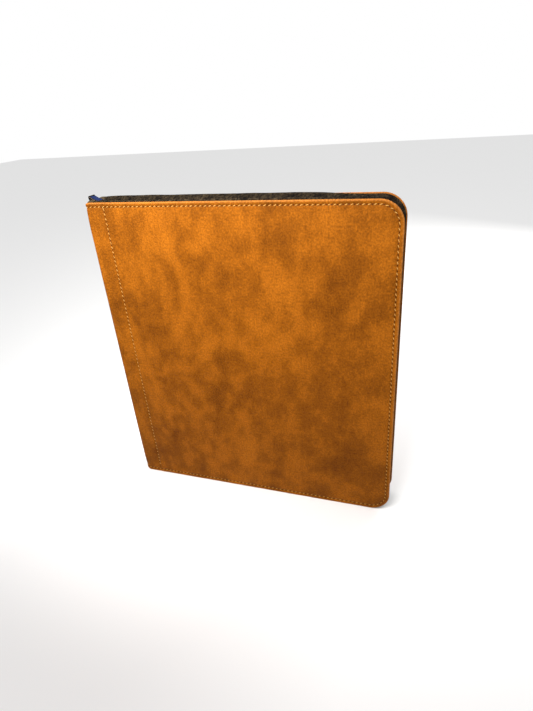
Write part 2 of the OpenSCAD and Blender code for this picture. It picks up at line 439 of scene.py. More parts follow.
def add_piece(name, bm, look, replaces=(), body=None, sharp=35.0):
    """Turns a bmesh into a finished piece that rides on a body, or stays where it is made"""
    bmesh.ops.recalc_face_normals(bm, faces=bm.faces)
    mesh = bpy.data.meshes.new(name)
    bm.to_mesh(mesh)
    bm.free()
    mesh.polygons.foreach_set("use_smooth", [True] * len(mesh.polygons))
    mesh.set_sharp_from_angle(angle=math.radians(sharp))
    mesh.materials.append(look_of(look))
    rest = mesh.attributes.new("rest_place", "FLOAT_VECTOR", "POINT")
    for vert, stored in zip(mesh.vertices, rest.data):
        stored.vector = vert.co
    piece = bpy.data.objects.new(name, mesh)
    bpy.context.scene.collection.objects.link(piece)
    if body:
        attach(piece, body)
    else:
        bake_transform(piece)
    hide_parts(*replaces)
    return piece


def repaint(node, look):
    """Gives a CAD node a finish from LOOKS"""
    materials = frame["nodes"][node].data.materials
    materials.clear()
    materials.append(look_of(look, on_node=True))


def cut_along(bm, axis, places):
    """Cuts every face where it crosses the given places along an axis"""
    normal = Vector([1.0 if letter == axis else 0.0 for letter in "XYZ"])
    for place in places:
        geometry = bm.verts[:] + bm.edges[:] + bm.faces[:]
        bmesh.ops.bisect_plane(bm, geom=geometry, plane_co=normal * place, plane_no=normal)


def rounded_sheet(bm, corners, depth, radius, rounded, segments):
    """A flat face with its (x, z) corners at a depth, some of them rounded"""
    verts = [bm.verts.new((x, depth, z)) for x, z in corners]
    bm.faces.new(verts)
    bmesh.ops.bevel(
        bm, geom=[verts[index] for index in rounded], offset=radius, offset_type="OFFSET",
        segments=segments, profile=0.5, affect="VERTICES", material=-1,
    )
    return bm.faces[:][0]


def drawn(bm, edges, step, count):
    """Draws a row of edges on by a step, again and again, and returns the last row"""
    for _ in range(count):
        made = bmesh.ops.extrude_edge_only(bm, edges=edges)["geom"]
        moved = [item for item in made if isinstance(item, bmesh.types.BMVert)]
        edges = [item for item in made if isinstance(item, bmesh.types.BMEdge)]
        bmesh.ops.translate(bm, verts=moved, vec=step)
    return edges


def stamped(shape, places):
    """A bmesh with a copy of a small shape at every place"""
    bm = bmesh.new()
    copied = bpy.data.meshes.new("stamp")
    for place in places:
        copy = shape.copy()
        bmesh.ops.transform(copy, matrix=place, verts=copy.verts[:])
        copy.to_mesh(copied)
        copy.free()
        bm.from_mesh(copied)
    bpy.data.meshes.remove(copied)
    shape.free()
    return bm


def spread(low, high, step):
    """Even places from low to high, both ends left out, no further apart than step"""
    count = max(1, math.ceil((high - low) / step))
    return [low + (high - low) * index / count for index in range(1, count)]


def bump_at(value, centre, width):
    """A smooth hump that is 1 at the centre"""
    return math.exp(-(((value - centre) / width) ** 2))


def smooth(value):
    """0 to 1 with soft ends"""
    value = min(1.0, max(0.0, value))
    return value * value * (3 - 2 * value)


def side_name(side):
    return "front" if side == FRONT else "back"


def cover_body(side):
    return f"{side_name(side)}_cover"


EASE_REACH = 30 * MM  # height over which the leather's ends are drawn in at the spine
FOOT_EASE, HEAD_EASE = 0.55, 0.16  # how far, as shares of the spine corner's radius


class FlatJacket:
    """Half of the jacket laid flat: X from the middle of the spine to the fore-edge,
    Y into the binder from the leather's outside, Z up."""

    def __init__(self, side):
        self.side = side
        self.sizes = bpy.context.scene.binder_sizes
        self.radius = self.sizes.fold_radius
        self.spine_corner = self.sizes.spine_corner
        self.fold_start = HALF - self.radius
        self.fold_end = self.fold_start + self.radius * QUARTER
        self.fore_edge = self.fold_end + FORE_X - SPINE_X - self.radius
        self.hinge = self.fold_end + self.sizes.hinge_line - self.radius

    def eased(self, across, height):
        """Draws the leather's ends in a little where they turn round the spine"""
        share = 1 - smooth((across - self.fold_start) / self.spine_corner)
        foot = (1 - smooth(height / EASE_REACH)) * FOOT_EASE
        head = (1 - smooth((HEIGHT - height) / EASE_REACH)) * HEAD_EASE
        return height + share * share * (foot - head) * self.spine_corner

    def folded(self, point):
        """Where a point of the flat jacket lies on the closed binder"""
        across, depth, height = point
        height = self.eased(across, height)
        if across < self.fold_start:
            return Vector((SPINE_X + depth, self.side * across, height))
        if across < self.fold_end:
            turn = (across - self.fold_start) / self.radius
            reach = self.radius - depth
            return Vector((
                SPINE_X + self.radius - reach * math.cos(turn),
                self.side * (self.fold_start + reach * math.sin(turn)),
                height,
            ))
        beyond = across - self.fold_end
        return Vector((SPINE_X + self.radius + beyond, self.side * (HALF - depth), height))

    def edge_distance(self, across, height):
        """How far a point lies inside the jacket's outline"""
        radius = self.sizes.corner_radius
        inside = min(self.fore_edge - across, height, HEIGHT - height)
        over_x = across - (self.fore_edge - radius)
        over_z = max(height - (HEIGHT - radius), radius - height)
        if over_x > 0 and over_z > 0:
            return radius - math.hypot(over_x, over_z)
        return inside

    def fold_all(self, bm):
        for vert in bm.verts:
            vert.co = self.folded(vert.co)


class EdgeRun:
    """A line in X and Z along the top, round the fore-edge and back along the bottom."""

    def __init__(self, start, fore_edge, low, high, radius):
        self.start, self.fore_edge, self.low, self.high = start, fore_edge, low, high
        self.radius = radius
        self.level = fore_edge - radius - start
        self.arc = radius * QUARTER
        self.upright = high - low - 2 * radius
        self.total = 2 * self.level + 2 * self.arc + self.upright

    def at(self, distance):
        """(x, z, heading) at a distance along the run"""
        if distance < self.level:
            return self.start + distance, self.high, 0.0
        distance -= self.level
        if distance < self.arc:
            turn = distance / self.radius
            return (self.fore_edge - self.radius + self.radius * math.sin(turn),
                    self.high - self.radius + self.radius * math.cos(turn), -turn)
        distance -= self.arc
        if distance < self.upright:
            return self.fore_edge, self.high - self.radius - distance, -QUARTER
        distance -= self.upright
        if distance < self.arc:
            turn = distance / self.radius
            return (self.fore_edge - self.radius + self.radius * math.cos(turn),
                    self.low + self.radius - self.radius * math.sin(turn), -QUARTER - turn)
        distance -= self.arc
        return self.fore_edge - self.radius - distance, self.low, -2 * QUARTER

    def stations(self, pitch, offset=0.0):
        """Even distances along the run"""
        count = int((self.total - offset) / pitch)
        return [offset + (index + 0.5) * pitch for index in range(count)]


def zip_run(outward=0.0):
    """The run of the zip's tape, moved outward from the covers' edge"""
    sizes = bpy.context.scene.binder_sizes
    return EdgeRun(TAPE_START, FORE_X + outward, sizes.tape_floor - outward,
                   HEIGHT + outward, sizes.corner_radius + outward)


# ---------------------------------------------------------------- leather and stitching

# Steps of the leather's edge: how far each ring lies inside the last, and how far it rises
OUTER_RINGS = ((0.18, 0.45), (0.32, 0.45), (0.45, 0.27), (0.6, 0.03), (0.75, -0.1),
               (0.7, -0.3), (0.5, -0.22), (0.5, -0.03), (0.5, 0.03), (0.5, 0.2),
               (0.9, 0.22), (1.6, 0.1), (3.0, 0.1))
INNER_RINGS = ((0.2, 0.6), (0.4, 0.45), (0.6, 0.15), (5.0, 0.0))
EDGE_DEPTH = 1.2 * MM  # depth of the outermost line of the edge under the leather's face
PANEL_EDGE = 22 * MM  # from a seam to where the leather has its full swell
HINGE_EDGE = 14 * MM  # from the hinge line to where the leather has its full swell
CREASE_DEPTH = 0.62 * MM
CREASE_CUTS = (-3.4, -2.2, -1.4, -0.8, -0.35, 0.0, 0.35, 0.8, 1.4, 2.2, 3.4)


def flat_outline(bm, flat):
    """Both halves of the jacket's outline, with round corners, as one face"""
    edge = flat.fore_edge
    corners = ((-edge, 0), (edge, 0), (edge, HEIGHT), (-edge, HEIGHT))
    return rounded_sheet(bm, corners, EDGE_DEPTH, flat.sizes.corner_radius, range(4), 14)


def ring_inwards(bm, face, rings):
    """Insets a face again and again, raising each ring"""
    for inset, rise in rings:
        bmesh.ops.inset_region(
            bm, faces=[face], thickness=inset * MM, depth=rise * MM,
            use_even_offset=True, use_boundary=True,
        )


def shape_leather(bm, flat):
    """The crease at the hinge line, the swell between the seams and slight unevenness"""
    place = bm.verts.layers.float_vector.new("leather_place")
    painted_light = bm.verts.layers.float.new("leather_painted_light")
    seam = flat.sizes.seam_inset
    for vert in bm.verts:
        across, depth, height = vert.co
        inside = flat.edge_distance(across, height)
        crease = bump_at(across, flat.hinge, 0.9 * MM) * smooth(inside / seam)
        groove = bump_at(inside, seam, 0.8 * MM)
        # Painted light of each point: a highlight along the edge, less painted shade in the
        # seam's groove and the hinge crease
        rim = bump_at(inside, 0.5 * MM, 0.75 * MM)
        vert[painted_light] = rim - max(groove, 0.8 * crease)
        vert[place] = (flat.side * across, 0.0, height)
        if depth > EDGE_DEPTH:
            continue
        panel = smooth((inside - seam) / PANEL_EDGE)
        panel *= smooth(abs(across - flat.hinge) / HINGE_EDGE)
        uneven = noise.noise(Vector((across * flat.side * 14, 0.0, height * 14)))
        fine = noise.noise(Vector((across * flat.side * 55, 3.0, height * 55)))
        swell = panel * flat.sizes.padding + smooth(inside / (9 * MM)) * (
            0.22 * uneven + 0.07 * fine) * MM
        vert.co.y += CREASE_DEPTH * crease - swell


def leather_half(side):
    """One cover's leather with its half of the spine's: a closed, edged and folded sheet"""
    flat = FlatJacket(side)
    bm = bmesh.new()
    face = flat_outline(bm, flat)
    rim = face.verts[:]
    ring_inwards(bm, face, OUTER_RINGS)
    ring_inwards(bm, bm.faces.new(list(reversed(rim))), INNER_RINGS)
    geometry = bm.verts[:] + bm.edges[:] + bm.faces[:]
    cut = bmesh.ops.bisect_plane(
        bm, geom=geometry, plane_co=(0, 0, 0), plane_no=(1, 0, 0), clear_inner=True)
    rim = [item for item in cut["geom_cut"] if isinstance(item, bmesh.types.BMEdge)]
    bmesh.ops.edgeloop_fill(bm, edges=rim)
    step = flat.sizes.skin_grid
    fold = spread(flat.fold_start - 3 * MM, flat.fold_end + 5 * MM, 0.7 * MM)
    hinge = [flat.hinge + offset * MM for offset in CREASE_CUTS]
    panel = spread(0, flat.fold_start - 3 * MM, step)
    panel += spread(flat.fold_end + 5 * MM, flat.hinge - 4 * MM, step / 2)
    panel += spread(flat.hinge + 4 * MM, flat.fore_edge, step)
    cut_along(bm, "X", fold + hinge + panel)
    cut_along(bm, "Z", spread(0, HEIGHT, step))
    shape_leather(bm, flat)
    flat.fold_all(bm)
    return bm


STITCH_SLANT = math.radians(24)
STITCH_HEIGHT = 0.55 * MM
STITCH_DEPTH = 0.42 * MM  # of a stitch's middle under the leather's face
HOLE_SIZE = (1.9 * MM, 0.25 * MM, 0.8 * MM)
HOLE_SLANT = math.radians(49)
HOLE_DEPTH = 0.62 * MM


def seam_frames(flat):
    """Place and heading of every stitch of one cover, on the flat jacket"""
    sizes = flat.sizes
    inset = sizes.seam_inset
    run = EdgeRun(0.0, flat.fore_edge - inset, inset, HEIGHT - inset,
                  sizes.corner_radius - inset)
    frames = [run.at(distance) for distance in run.stations(sizes.stitch_pitch)]
    top = HEIGHT - inset - 0.5 * sizes.stitch_pitch
    count = int((top - inset) / sizes.stitch_pitch)
    frames += [(flat.hinge, top - index * sizes.stitch_pitch, QUARTER)
               for index in range(count)]
    return frames


def seam_half(side, size, slant, shift, depth):
    """The same small bead at every stitch, turned along the seam"""
    flat = FlatJacket(side)
    bead = bmesh.new()
    bmesh.ops.create_uvsphere(bead, u_segments=8, v_segments=5, radius=0.5)
    places = []
    for across, height, heading in seam_frames(flat):
        seam = Matrix.Translation((across, depth, height)) @ Matrix.Rotation(-heading, 4, "Y")
        own = Matrix.Rotation(-slant, 4, "Y") @ Matrix.Diagonal((*size, 1.0))
        places.append(seam @ Matrix.Translation((shift, 0, 0)) @ own)
    bm = stamped(bead, places)
    flat.fold_all(bm)
    return bm


class BINDER_OT_leather(bpy.types.Operator):
    """Models the leather jacket: two covers and a spine in one folded sheet"""

    bl_idname = "binder.leather"
    bl_label = "Leather jacket"

    def execute(self, context):
        for side, nodes in ((FRONT, ("front_skin", "spine_skin")), (BACK, ("back_skin",))):
            add_piece(f"{side_name(side)}_leather", leather_half(side), "tan_leather",
                      nodes, sharp=60)
        return {"FINISHED"}


class BINDER_OT_stitching(bpy.types.Operator):
    """Sews the covers: a slanted stitch and a needle hole at every step of the seams"""

    bl_idname = "binder.stitching"
    bl_label = "Stitching"

    def execute(self, context):
        sizes = context.scene.binder_sizes
        size = (sizes.stitch_length, STITCH_HEIGHT, sizes.stitch_width)
        for side in (FRONT, BACK):
            name = side_name(side)
            stitches = seam_half(side, size, STITCH_SLANT, 0.0, STITCH_DEPTH)
            add_piece(f"{name}_stitches", stitches, "tan_thread",
                      (f"{name}_stitching",))
            # Each needle hole is a small dark bead: painted shade in the hole
            holes = seam_half(side, HOLE_SIZE, HOLE_SLANT, sizes.stitch_pitch / 2, HOLE_DEPTH)
            add_piece(f"{name}_needle_holes", holes, "needle_hole")
        return {"FINISHED"}


class BINDER_OT_linings(bpy.types.Operator):
    """Lays the lining cloth inside the covers and over the spine"""

    bl_idname = "binder.linings"
    bl_label = "Linings"

    def execute(self, context):
        for side, nodes in ((FRONT, ("front_lining", "spine_lining")), (BACK, ("back_lining",))):
            add_piece(f"{side_name(side)}_cloth", lining_half(side), "lining_cloth",
                      nodes)
        return {"FINISHED"}


def lining_half(side):
    """One cover's lining and its half of the spine's, with rounded fore-edge corners"""
    flat = FlatJacket(side)
    inset = FORE_X - LINING_HIGH.x
    low, high = LINING_LOW.z, LINING_HIGH.z
    depth = SKIN_DEPTH + 0.05 * MM
    bm = bmesh.new()
    end = flat.fore_edge - inset
    corners = ((0.0, low), (end, low), (end, high), (0.0, high))
    rounded_sheet(bm, corners, depth, flat.sizes.corner_radius - inset, (1, 2), 10)
    cuts = spread(flat.fold_start - 4 * MM, flat.fold_end + 9 * MM, 0.8 * MM)
    cut_along(bm, "X", cuts + spread(flat.fold_end + 9 * MM, flat.fore_edge, 40 * MM))
    bmesh.ops.solidify(bm, geom=bm.faces[:], thickness=LINING_DEPTH - 0.1 * MM)
    flat.fold_all(bm)
    return bm


# ---------------------------------------------------------------- zip

# The tape's profile: depth under the cover's face and height over the cover's edge
TAPE_PROFILE = ((2.72, -8.0), (2.72, -4.0), (2.72, -0.6), (2.76, 0.4), (3.0, 1.05),
                (3.5, 1.4), (4.2, 1.25), (4.8, 0.5), (5.3, -0.9), (5.9, -2.5),
                (6.9, -3.9), (8.5, -4.6), (10.5, -4.9), (12.6, -5.0))
TAPE_STEP = 7 * MM
FORE_SINK = 2.3 * MM  # how far the tape's lip sinks on its way to the fore-edge
START_SINK = 1.3 * MM  # how far it lies low where the tape starts
SINK_START, SINK_REACH = 85 * MM, 60 * MM  # where before the fore-edge, and over how far
START_REACH = 11 * MM  # over which the tape's lip rises at its start
COIL_SINK = 5.7 * MM  # how far the coil's run lies inside the covers' edge
COIL_TURN = (0.8 * MM, 3.9 * MM, 1.7 * MM)
COIL_OFFSET = 1.55 * MM  # of each half's turns from the middle of the zip


def tape_half(side):
    """Half of the zip's tape: its profile drawn along the run and round both corners"""
    sizes = bpy.context.scene.binder_sizes
    run = zip_run()
    bm = bmesh.new()
    place = bm.verts.layers.float_vector.new("tape_place")
    verts = []
    for depth, height in TAPE_PROFILE:
        rise = height * (sizes.lip / 1.4 if height > 0 else MM)
        verts.append(bm.verts.new((run.start, side * (HALF - depth * MM), run.high + rise)))
    edges = [bm.edges.new(pair) for pair in zip(verts, verts[1:])]
    edges = draw_along(bm, edges, run)
    for vert in bm.verts:
        ripple(vert, run, place)
    bmesh.ops.recalc_face_normals(bm, faces=bm.faces)
    bmesh.ops.solidify(bm, geom=bm.faces[:], thickness=sizes.tape_thickness)
    return bm


def draw_along(bm, edges, run):
    """Draws a profile along the run: level, round, down, round, level"""
    def straight(edges, step, distance):
        count = round(distance / TAPE_STEP)
        return drawn(bm, edges, Vector(step) * (distance / count), count)

    def corner(edges, height):
        centre = (run.fore_edge - run.radius, 0, height)
        made = bmesh.ops.spin(bm, geom=edges, cent=centre, axis=(0, 1, 0), angle=QUARTER,
                              steps=16, use_merge=False)["geom_last"]
        return [item for item in made if isinstance(item, bmesh.types.BMEdge)]

    edges = straight(edges, (1, 0, 0), run.level)
    edges = corner(edges, run.high - run.radius)
    edges = straight(edges, (0, 0, -1), run.upright)
    edges = corner(edges, run.low + run.radius)
    return straight(edges, (-1, 0, 0), run.level)


def ripple(vert, run, place):
    """Stores where a point of the tape lies along and across it, and lets it wave a little"""
    x, y, z = vert.co
    middle = Vector((min(x, run.fore_edge - run.radius), 0,
                     min(max(z, run.low + run.radius), run.high - run.radius)))
    outward = Vector((x, 0, z)) - middle
    vert[place] = (x - z, y, outward.length)
    proud = outward.length - run.radius
    if proud > -4.5 * MM:
        wave = noise.noise(Vector((x * 60, y * 40, z * 60))) * 0.28 * MM
        sunk = FORE_SINK * smooth((x - run.fore_edge + SINK_START) / SINK_REACH)
        sunk += START_SINK * smooth(1 - (x - run.start) / START_REACH)
        vert.co += outward.normalized() * (wave - sunk * smooth(proud / MM + 1.5))
        vert.co.y += noise.noise(Vector((x * 45, 9.0, z * 45))) * 0.2 * MM


def coil_half(side):
    """One half of the coil: a row of turns whose heads reach between the other half's"""
    sizes = bpy.context.scene.binder_sizes
    run = zip_run(outward=-COIL_SINK)
    offset = 0.0 if side == FRONT else sizes.tooth_pitch / 2
    turn = bmesh.new()
    bmesh.ops.create_cube(turn, size=1.0, matrix=Matrix.Diagonal((*COIL_TURN, 1.0)))
    bmesh.ops.bevel(turn, geom=turn.edges[:], offset=0.24 * MM, segments=1, profile=0.5,
                    affect="EDGES", material=-1)
    places = []
    for distance in run.stations(sizes.tooth_pitch, offset):
        x, z, heading = run.at(distance)
        middle = Matrix.Translation((x, side * COIL_OFFSET, z))
        places.append(middle @ Matrix.Rotation(-heading, 4, "Y"))
    return stamped(turn, places)


class BINDER_OT_zip(bpy.types.Operator):
    """Makes the zip's two tapes and the two halves of its coil"""

    bl_idname = "binder.zip"
    bl_label = "Zip tape and coil"

    def execute(self, context):
        for side in (FRONT, BACK):
            name = side_name(side)
            add_piece(f"{name}_tape", tape_half(side), "zip_tape",
                      (f"{name}_zip_tape",), body=cover_body(side), sharp=50)
            add_piece(f"{name}_coil", coil_half(side), "zip_coil",
                      (f"{name}_zip_coil",), body=cover_body(side))
        return {"FINISHED"}


def rounded_box(bm, low, high, upright=0.0, edge=0.0):
    """A box with its upright edges rounded first and then all its edges eased"""
    low, high = Vector(low), Vector(high)
    place = Matrix.Translation((low + high) / 2) @ Matrix.Diagonal((*(high - low), 1.0))
    verts = bmesh.ops.create_cube(bm, size=1.0, matrix=place)["verts"]
    edges = {link for vert in verts for link in vert.link_edges}
    if upright:
        standing = [link for link in edges if abs((link.verts[0].co - link.verts[1].co).z) > 1e-6]
        bmesh.ops.bevel(bm, geom=standing, offset=upright, segments=5, profile=0.5,
                        affect="EDGES", material=-1)
    if edge:
        faces = connected_faces(bm, verts)
        flat = {link for face in faces for link in face.edges
                if len(link.link_faces) == 2 and link.calc_face_angle() > math.radians(50)}
        bmesh.ops.bevel(bm, geom=list(flat), offset=edge, segments=3, profile=0.5,
                        affect="EDGES", material=-1)


def connected_faces(bm, verts):
    """Every face of the shape that the given vertices belong to, or belonged to before a
    bevel made the newest faces in their place"""
    waiting = [face for vert in verts if vert.is_valid for face in vert.link_faces]
    if not waiting:
        waiting = bm.faces[-1:]
    found = set()
    while waiting:
        face = waiting.pop()
        if face not in found:
            found.add(face)
            waiting += [near for edge in face.edges for near in edge.link_faces]
    return found


PLATE = 1.2 * MM  # thickness of the slider's plates
PIN_RISE = 1.5 * MM  # of the pull's pin over the upper plate
TAIL_TAPER = 0.26  # share of its width that the slider loses towards its tail
POST_NOSE, POST_TAIL = -4.4 * MM, 0.6 * MM  # of the post, from the slider's middle
POST_HALF = 0.5 * MM
BRIDGE_RISE = 1.27  # height of the bridge over that of a round arch


def slider_mesh():
    """The slider: two rounded plates, wider at the nose, and a post"""
    low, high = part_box("zip_slider")
    pull = Vector(JOINTS["pull_swing"]["pos_m"])
    plate_top = pull.z - PIN_RISE
    centre = (low.x + high.x) / 2
    bm = bmesh.new()
    for bottom in (plate_top - PLATE, low.z):
        rounded_box(bm, (low.x, low.y, bottom), (high.x, high.y, bottom + PLATE),
                    upright=2.6 * MM, edge=0.32 * MM)
    for vert in bm.verts:
        tail = smooth((vert.co.x - centre) / (high.x - centre))
        vert.co.y *= 1 - TAIL_TAPER * tail
    rounded_box(bm, (centre + POST_NOSE, -POST_HALF, low.z + PLATE / 2),
                (centre + POST_TAIL, POST_HALF, plate_top - PLATE / 2), edge=0.2 * MM)
    return bm


def bridge_mesh():
    """The bridge over the slider's upper plate that holds the pull's ring"""
    low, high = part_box("zip_slider")
    centre = (low.x + high.x) / 2
    plate_top = JOINTS["pull_swing"]["pos_m"][2] - PIN_RISE
    bm = bmesh.new()
    corners = ((1.9, -1.2), (2.8, -1.2), (2.8, 1.2), (1.9, 1.2))
    foot = [bm.verts.new((centre + x * MM, y * MM, plate_top)) for x, y in corners]
    face = bm.faces.new(foot)
    bmesh.ops.spin(bm, geom=[face], cent=(centre, 0, plate_top), axis=(0, 1, 0),
                   angle=-2 * QUARTER, steps=14, use_merge=False)
    for vert in bm.verts:
        vert.co.z = plate_top - 0.2 * MM + (vert.co.z - plate_top) * BRIDGE_RISE
    return bm


class BINDER_OT_slider(bpy.types.Operator):
    """Models the zip's slider"""

    bl_idname = "binder.slider"
    bl_label = "Zip slider"

    def execute(self, context):
        add_piece("slider_body", slider_mesh(), "slider_metal",
                  ("zip_slider",), body="slider")
        add_piece("slider_bridge", bridge_mesh(), "slider_metal",
                  body="slider")
        repaint("pull_ring", "slider_metal")
        return {"FINISHED"}


# The strips of the pull's ribbon: name, finish, half width, thickness and path, all in
# millimetres; a path starts at the ring's wire, runs along the pull and rises above it
RIBBON_STRIPS = (
    ("pull_ribbon", "blue_ribbon", 4.0, 0.5,
     ((-0.9, 0.3), (-0.5, 0.95), (0.4, 1.15), (1.6, 0.9), (3.5, 0.5), (6.0, 0.45), (8.6, 0.4))),
    ("pull_core", "ribbon_core", 3.9, 0.35,
     ((1.9, 0.35), (3.5, 0.0), (6.0, -0.05), (8.8, -0.1))),
    ("pull_backing", "zip_coil", 4.05, 0.4,
     ((8.2, 0.78), (8.9, 0.8), (9.5, 0.45), (9.7, -0.2), (9.3, -1.3), (8.7, -2.3), (7.9, -3.1),
      (7.0, -3.4), (5.6, -2.8), (3.5, -1.7), (1.5, -1.3), (0.3, -1.15), (-0.6, -0.8),
      (-0.95, 0.1))),
    # The fourth strip is black and lies inside the fold: painted shade in the fold's hollow
    ("pull_fold_shade", "zip_coil", 3.6, 0.9,
     ((1.6, -0.75), (3.5, -0.95), (6.0, -1.5), (7.8, -1.7), (8.7, -1.1))),
)


WIRE_INSET = 1.5 * MM  # of the ring's wire inside the pull's box
TIP_INSET, TIP_DROP = 0.45 * MM, 0.78 * MM  # of the pull's tip inside its box


def ribbon_strip(half_width, thickness, path):
    """A strip of ribbon along a path from the ring's wire towards the pull's tip"""
    low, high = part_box("pull_tab")
    wire = Vector((high.x - WIRE_INSET, 0, low.z + WIRE_INSET))
    tip = Vector((low.x + TIP_INSET, 0, high.z - TIP_DROP))
    along = (tip - wire).normalized()
    upward = Vector((along.z, 0, -along.x))
    bm = bmesh.new()
    side = Vector((0, -half_width * MM, 0))
    verts = [bm.verts.new(wire + side + (along * x + upward * z) * MM) for x, z in path]
    edges = [bm.edges.new(pair) for pair in zip(verts, verts[1:])]
    drawn(bm, edges, (0, half_width * MM / 3, 0), 6)
    bmesh.ops.recalc_face_normals(bm, faces=bm.faces)
    bmesh.ops.solidify(bm, geom=bm.faces[:], thickness=thickness * MM)
    return bm


class BINDER_OT_pull(bpy.types.Operator):
    """Folds the pull's ribbon round the slider's ring"""

    bl_idname = "binder.pull"
    bl_label = "Ribbon pull"

    def execute(self, context):
        for name, look, half_width, thickness, path in RIBBON_STRIPS:
            add_piece(name, ribbon_strip(half_width, thickness, path), look,
                      body="pull")
        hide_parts("pull_tab")
        return {"FINISHED"}


END_TAB_HEIGHT = 4 * MM
TAPE_END_LEVELS = ((0.8 * MM, 7.5 * MM), (HEIGHT - 7 * MM, HEIGHT + 0.9 * MM))
TAPE_END_DEPTHS = (6 * MM, 12.2 * MM)  # from the middle of the zip


class BINDER_OT_end_tabs(bpy.types.Operator):
    """Folds a sewn-over cloth tab round each end of the zip and turns in the tapes' ends"""

    bl_idname = "binder.end_tabs"
    bl_label = "Zip end tabs"

    def execute(self, context):
        low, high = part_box("zip_end_tabs")
        bm = bmesh.new()
        for bottom in (low.z, high.z - END_TAB_HEIGHT):
            rounded_box(bm, (low.x, low.y, bottom),
                        (high.x, high.y, bottom + END_TAB_HEIGHT), edge=0.8 * MM)
        add_piece("end_tabs", bm, "lining_cloth", ("zip_end_tabs",),
                  body="back_cover")
        for side in (FRONT, BACK):
            inner, outer = sorted(side * depth for depth in TAPE_END_DEPTHS)
            bm = bmesh.new()
            for bottom, top in TAPE_END_LEVELS:
                rounded_box(bm, (TAPE_START - 0.6 * MM, inner, bottom),
                            (TAPE_START + 6 * MM, outer, top), edge=1.5 * MM)
            add_piece(f"{side_name(side)}_tape_ends", bm, "tape_end",
                      body=cover_body(side))
        return {"FINISHED"}


# ---------------------------------------------------------------- pages


GUTTER_BEND = 14 * MM  # width of a page's gutter that is cut finely
FILM_GAP = 0.07 * MM  # from the backing sheet to the film along the welds
FILM_THICKNESS = 0.03 * MM
# Steps of a pocket from its weld inwards: how far, and how much the film rises
POCKET_RINGS = ((0.5, 0.08), (5.0, 0.03), (12.0, 0.03))


def page_sheet(body):
    """A page's backing sheet, with round corners and a finely cut gutter"""
    low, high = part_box(f"{body}_sheet")
    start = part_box("page_binding")[1].x - 0.2 * MM
    radius = bpy.context.scene.binder_sizes.page_corner
    bm = bmesh.new()
    corners = ((start, low.z), (high.x, low.z), (high.x, high.z), (start, high.z))
    rounded_sheet(bm, corners, low.y, radius, (1, 2), 5)
    bend = start + GUTTER_BEND
    cut_along(bm, "X", spread(start, bend, MM) + spread(bend, high.x, 40 * MM))
    bmesh.ops.solidify(bm, geom=bm.faces[:], thickness=high.y - low.y)
    return bm


def cut_shell(bm, faces, axis, places):
    """Cuts only the given faces, and returns what they become"""
    normal = Vector([1.0 if letter == axis else 0.0 for letter in "XYZ"])
    for place in places:
        edges = {edge for face in faces for edge in face.edges}
        verts = {vert for face in faces for vert in face.verts}
        made = bmesh.ops.bisect_plane(bm, geom=[*verts, *edges, *faces],
                                      plane_co=normal * place, plane_no=normal)["geom"]
        faces = [item for item in made if isinstance(item, bmesh.types.BMFace)]
    return faces


def pocket_films(body):
    """Both faces' films: nine pockets each, pressed down along the welds"""
    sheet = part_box(f"{body}_sheet")
    low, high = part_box(f"{body}_pockets")
    weld = bpy.context.scene.binder_sizes.weld
    columns = [low.x + (high.x - low.x) * third / 3 for third in (1, 2)]
    rows = [low.z + (high.z - low.z) * third / 3 for third in (1, 2)]
    bm = bmesh.new()
    for side, face_y in ((-1, sheet[0].y), (1, sheet[1].y)):
        corners = ((low.x, low.z), (high.x, low.z), (high.x, high.z), (low.x, high.z))
        outer = [bm.verts.new((x, face_y + side * FILM_GAP, z)) for x, z in corners]
        cells = [bm.faces.new(outer[::-side])]
        cells = cut_shell(bm, cells, "X", columns)
        cells = cut_shell(bm, cells, "Z", rows)
        bmesh.ops.inset_individual(bm, faces=cells, thickness=weld / 2, depth=0.0)
        for inset, rise in POCKET_RINGS:
            bmesh.ops.inset_individual(bm, faces=cells, thickness=inset * MM, depth=rise * MM)
    welded = bm.verts.layers.float.new("weld")
    middle = (sheet[0].y + sheet[1].y) / 2
    flat = abs(sheet[1].y - middle) + FILM_GAP + FILM_THICKNESS
    for vert in bm.verts:
        vert[welded] = float(abs(vert.co.y - middle) < flat)
    bmesh.ops.recalc_face_normals(bm, faces=bm.faces)
    bmesh.ops.solidify(bm, geom=bm.faces[:], thickness=FILM_THICKNESS)
    return bm


class BINDER_OT_pages(bpy.types.Operator):
    """Makes every page: a backing sheet with a finely cut gutter and clear pocket films"""

    bl_idname = "binder.pages"
    bl_label = "Pages"

    def execute(self, context):
        for body in PAGE_BODIES:
            add_piece(f"{body}_leaf", page_sheet(body), "page_sheet",
                      (f"{body}_sheet",))
            add_piece(f"{body}_film", pocket_films(body), "pocket_film",
                      (f"{body}_pockets",), body=body)
        return {"FINISHED"}


STIFFENER_TRIM = (7 * MM, 3 * MM)  # off the spine board's foot and head


class BINDER_OT_inner_finishes(bpy.types.Operator):
    """Trims the spine's board to its leather, and finishes the boards and the binding"""

    bl_idname = "binder.inner_finishes"
    bl_label = "Boards and binding"

    def execute(self, context):
        for node in ("front_board", "back_board"):
            repaint(node, "grey_board")
        low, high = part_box("spine_board")
        bm = bmesh.new()
        foot, head = STIFFENER_TRIM
        rounded_box(bm, (low.x, low.y, low.z + foot), (high.x, high.y, high.z - head),
                    edge=0.3 * MM)
        add_piece("spine_stiffener", bm, "grey_board", ("spine_board",),
                  body="spine")
        repaint("page_binding", "lining_cloth")
        return {"FINISHED"}


# ---------------------------------------------------------------- stage


SURROUND_LIGHT, SURROUND_SEEN = 0.24, 1.0
